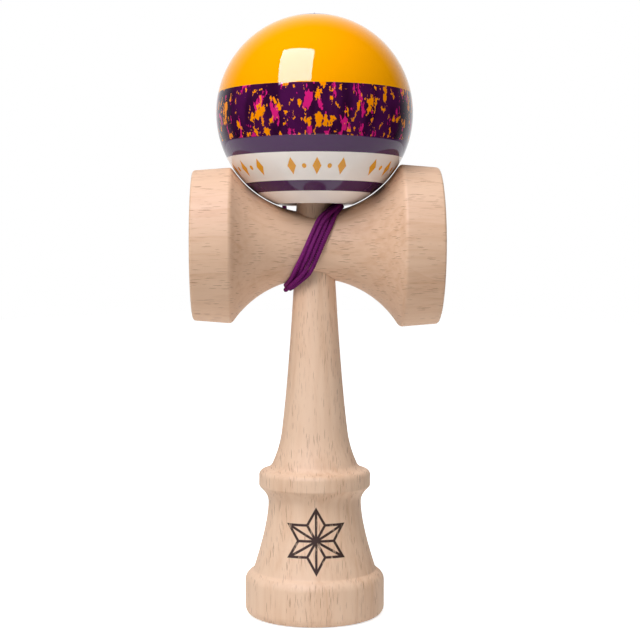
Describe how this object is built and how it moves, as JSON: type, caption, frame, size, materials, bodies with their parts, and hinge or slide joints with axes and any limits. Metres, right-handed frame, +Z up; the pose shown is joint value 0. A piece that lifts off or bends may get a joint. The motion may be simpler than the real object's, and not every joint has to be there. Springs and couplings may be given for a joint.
{
  "type": "kendama",
  "caption": "Wooden cup-and-ball toy: a turned handle with a spike and base cup, a cross-piece with a big and a small cup, and a painted ball on a wound cord.",
  "frame": {"origin": "centre of the base cup's rim, where the toy stands", "axes": "+Z up along the handle, +X towards the big cup, -Y towards the front"},
  "size_m": [0.0749, 0.0615, 0.1846],
  "materials": {
    "beech": "fine sanded bare beech",
    "ball_paint": "glossy lacquer in painted bands on wood",
    "cord": "braided synthetic cord",
    "bead": "smooth moulded bead"
  },
  "bodies": {
    "handle": {"ken": "beech"},
    "cross_piece": {"sarado": "beech", "sarado_knot": "cord", "string_winding": "cord"},
    "cord_end": {"string_bead": "bead", "bead_knot": "cord", "string_tail": "cord", "string_riser": "cord"},
    "ball": {"tama": "ball_paint"}
  },
  "joints": [
    {"name": "cross_piece_lift", "type": "slide", "parent": "handle", "child": "cross_piece", "axis": [0, 0, 1], "range_m": [0, 0.06]},
    {"name": "ball_lift", "type": "slide", "parent": "cross_piece", "child": "cord_end", "axis": [0, 0, 1], "range_m": [0, 0.045], "deforming": ["string_riser"]},
    {"name": "ball_spin", "type": "hinge", "parent": "cord_end", "child": "ball", "pos_m": [0, 0, 0.1533], "axis": [0, 0, 1], "continuous": true}
  ]
}
